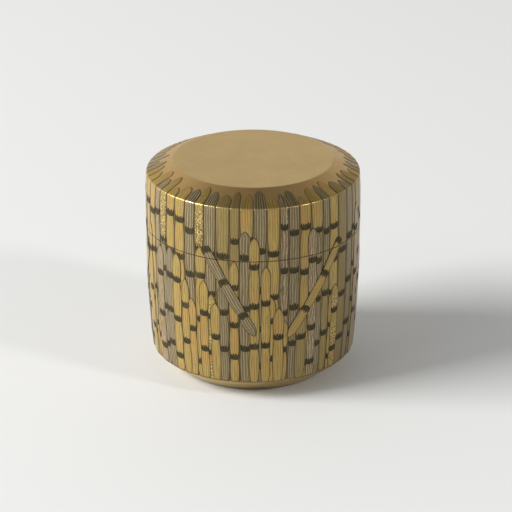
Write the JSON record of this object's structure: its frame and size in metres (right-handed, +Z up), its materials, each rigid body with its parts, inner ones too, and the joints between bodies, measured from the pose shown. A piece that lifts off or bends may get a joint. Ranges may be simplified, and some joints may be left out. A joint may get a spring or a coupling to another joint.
{
  "type": "tea caddy",
  "caption": "Round lacquered tea caddy with bevelled crown and foot, lift-off lid on a rise, and raised scouring-rush stems round the wall.",
  "frame": {"origin": "centre of the foot's resting plane", "axes": "+Z up along the turning axis; +X to the right and -Y towards the viewer"},
  "size_m": [0.066, 0.066, 0.0664],
  "materials": {
    "turned_wood": "fine-turned, unlacquered inside the coats",
    "hemp_cloth": "plain-weave hemp soaked in lacquer",
    "gold_ground": "satin gold-powder lacquer",
    "inner_lacquer": "polished amber lacquer over sparse gold flakes",
    "gold_stems": "raised warm gold lacquer",
    "olive_stems": "raised olive gold lacquer",
    "silver_stems": "raised silver lacquer with fine lines",
    "speckled_stems": "raised lacquer sprinkled with gold flakes",
    "dark_sheaths": "charcoal lacquer",
    "rise_lacquer": "satin gold lacquer, worn dark at its edge",
    "foot_lacquer": "dark lacquer with sparse gold flakes"
  },
  "bodies": {
    "body": {"body_core": "turned_wood", "mouth_cloth_band": "hemp_cloth", "foot_cloth_band": "hemp_cloth", "body_gold_coat": "gold_ground", "well_lining": "inner_lacquer", "rise_coat": "rise_lacquer", "foot_coat": "foot_lacquer", "body_gold_stems": "gold_stems", "body_olive_stems": "olive_stems", "body_silver_stems": "silver_stems", "body_speckled_stems": "speckled_stems", "body_sheaths": "dark_sheaths"},
    "lid": {"lid_core": "turned_wood", "lid_cloth_band": "hemp_cloth", "lid_gold_coat": "gold_ground", "lid_lining": "inner_lacquer", "lid_gold_stems": "gold_stems", "lid_olive_stems": "olive_stems", "lid_silver_stems": "silver_stems", "lid_speckled_stems": "speckled_stems", "lid_sheaths": "dark_sheaths"}
  },
  "joints": [
    {"name": "lid_lift", "type": "slide", "parent": "body", "child": "lid", "axis": [0, 0, 1], "range_m": [0, 0.03]}
  ]
}
